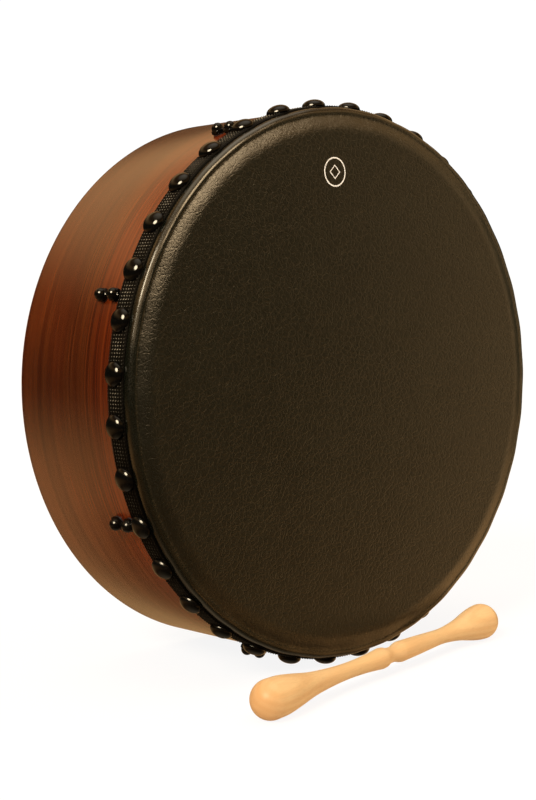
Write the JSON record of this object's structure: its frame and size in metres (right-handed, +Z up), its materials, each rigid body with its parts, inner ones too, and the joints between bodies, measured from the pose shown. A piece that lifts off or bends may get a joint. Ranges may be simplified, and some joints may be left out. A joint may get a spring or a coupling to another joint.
{
  "type": "bodhran",
  "caption": "Round frame drum with a black head, domed tacks over webbing, an inner tuning ring, a wooden hoop and a double-ended tipper.",
  "frame": {"origin": "middle of the ground under the whole object, drum and tipper together", "axes": "+Z up; the head faces -Y and leans back 3.4 degrees; +X is on the right when looking along +Y"},
  "size_m": [0.3678, 0.201, 0.3672],
  "materials": {
    "hoop_wood": "satin",
    "head_film": "fine leather grain, low sheen",
    "nylon_webbing": "woven",
    "black_tack": "gloss",
    "ring_wood": "satin",
    "bracket_steel": "satin",
    "bolt_steel": "black oxide",
    "screw_steel": "zinc plated",
    "black_washer": "satin",
    "black_nut": "gloss",
    "tipper_wood": "satin"
  },
  "bodies": {
    "drum": {"shell": "hoop_wood", "drumhead": "head_film", "webbing": "nylon_webbing", "tacks": "black_tack", "bracket_screws": "screw_steel", "washers": "black_washer", "cap_nuts": "black_nut", "tuning_bracket_1": "bracket_steel", "tuning_bracket_2": "bracket_steel", "tuning_bracket_3": "bracket_steel", "tuning_bracket_4": "bracket_steel", "tuning_bracket_5": "bracket_steel", "tuning_bracket_6": "bracket_steel", "tuning_bracket_7": "bracket_steel", "tuning_bracket_8": "bracket_steel"},
    "ring": {"tuning_ring": "ring_wood"},
    "tipper": {"tipper": "tipper_wood"},
    "bolt_1": {"tuning_bolt_1": "bolt_steel"},
    "bolt_2": {"tuning_bolt_2": "bolt_steel"},
    "bolt_3": {"tuning_bolt_3": "bolt_steel"},
    "bolt_4": {"tuning_bolt_4": "bolt_steel"},
    "bolt_5": {"tuning_bolt_5": "bolt_steel"},
    "bolt_6": {"tuning_bolt_6": "bolt_steel"},
    "bolt_7": {"tuning_bolt_7": "bolt_steel"},
    "bolt_8": {"tuning_bolt_8": "bolt_steel"}
  },
  "joints": [
    {"name": "ring_travel", "type": "slide", "parent": "drum", "child": "ring", "axis": [0, -0.9982, 0.0593], "range_m": [-0.004, 0]},
    {"name": "bolt_1_turn", "type": "hinge", "parent": "ring", "child": "bolt_1", "pos_m": [0.1441, 0.02989, 0.24843], "axis": [0, -0.9982, 0.0593], "range_deg": [-1450, 0]},
    {"name": "bolt_2_turn", "type": "hinge", "parent": "ring", "child": "bolt_2", "pos_m": [0.05438, 0.03477, 0.3305], "axis": [0, -0.9982, 0.0593], "range_deg": [-1450, 0]},
    {"name": "bolt_3_turn", "type": "hinge", "parent": "ring", "child": "bolt_3", "pos_m": [-0.0672, 0.03445, 0.3252], "axis": [0, -0.9982, 0.0593], "range_deg": [-1450, 0]},
    {"name": "bolt_4_turn", "type": "hinge", "parent": "ring", "child": "bolt_4", "pos_m": [-0.14941, 0.02913, 0.23563], "axis": [0, -0.9982, 0.0593], "range_deg": [-1450, 0]},
    {"name": "bolt_5_turn", "type": "hinge", "parent": "ring", "child": "bolt_5", "pos_m": [-0.1441, 0.02192, 0.11427], "axis": [0, -0.9982, 0.0593], "range_deg": [-1450, 0]},
    {"name": "bolt_6_turn", "type": "hinge", "parent": "ring", "child": "bolt_6", "pos_m": [-0.05438, 0.01704, 0.0322], "axis": [0, -0.9982, 0.0593], "range_deg": [-1450, 0]},
    {"name": "bolt_7_turn", "type": "hinge", "parent": "ring", "child": "bolt_7", "pos_m": [0.0672, 0.01735, 0.0375], "axis": [0, -0.9982, 0.0593], "range_deg": [-1450, 0]},
    {"name": "bolt_8_turn", "type": "hinge", "parent": "ring", "child": "bolt_8", "pos_m": [0.14941, 0.02268, 0.12706], "axis": [0, -0.9982, 0.0593], "range_deg": [-1450, 0]},
    {"name": "tipper_lift", "type": "slide", "parent": "drum", "child": "tipper", "axis": [0, -0.309, 0.9511], "range_m": [0, 0.3]}
  ],
  "couplings": [
    {"joint": "bolt_1_turn", "follows": "ring_travel", "rad_per_m": 6283.2},
    {"joint": "bolt_2_turn", "follows": "ring_travel", "rad_per_m": 6283.2},
    {"joint": "bolt_3_turn", "follows": "ring_travel", "rad_per_m": 6283.2},
    {"joint": "bolt_4_turn", "follows": "ring_travel", "rad_per_m": 6283.2},
    {"joint": "bolt_5_turn", "follows": "ring_travel", "rad_per_m": 6283.2},
    {"joint": "bolt_6_turn", "follows": "ring_travel", "rad_per_m": 6283.2},
    {"joint": "bolt_7_turn", "follows": "ring_travel", "rad_per_m": 6283.2},
    {"joint": "bolt_8_turn", "follows": "ring_travel", "rad_per_m": 6283.2}
  ]
}
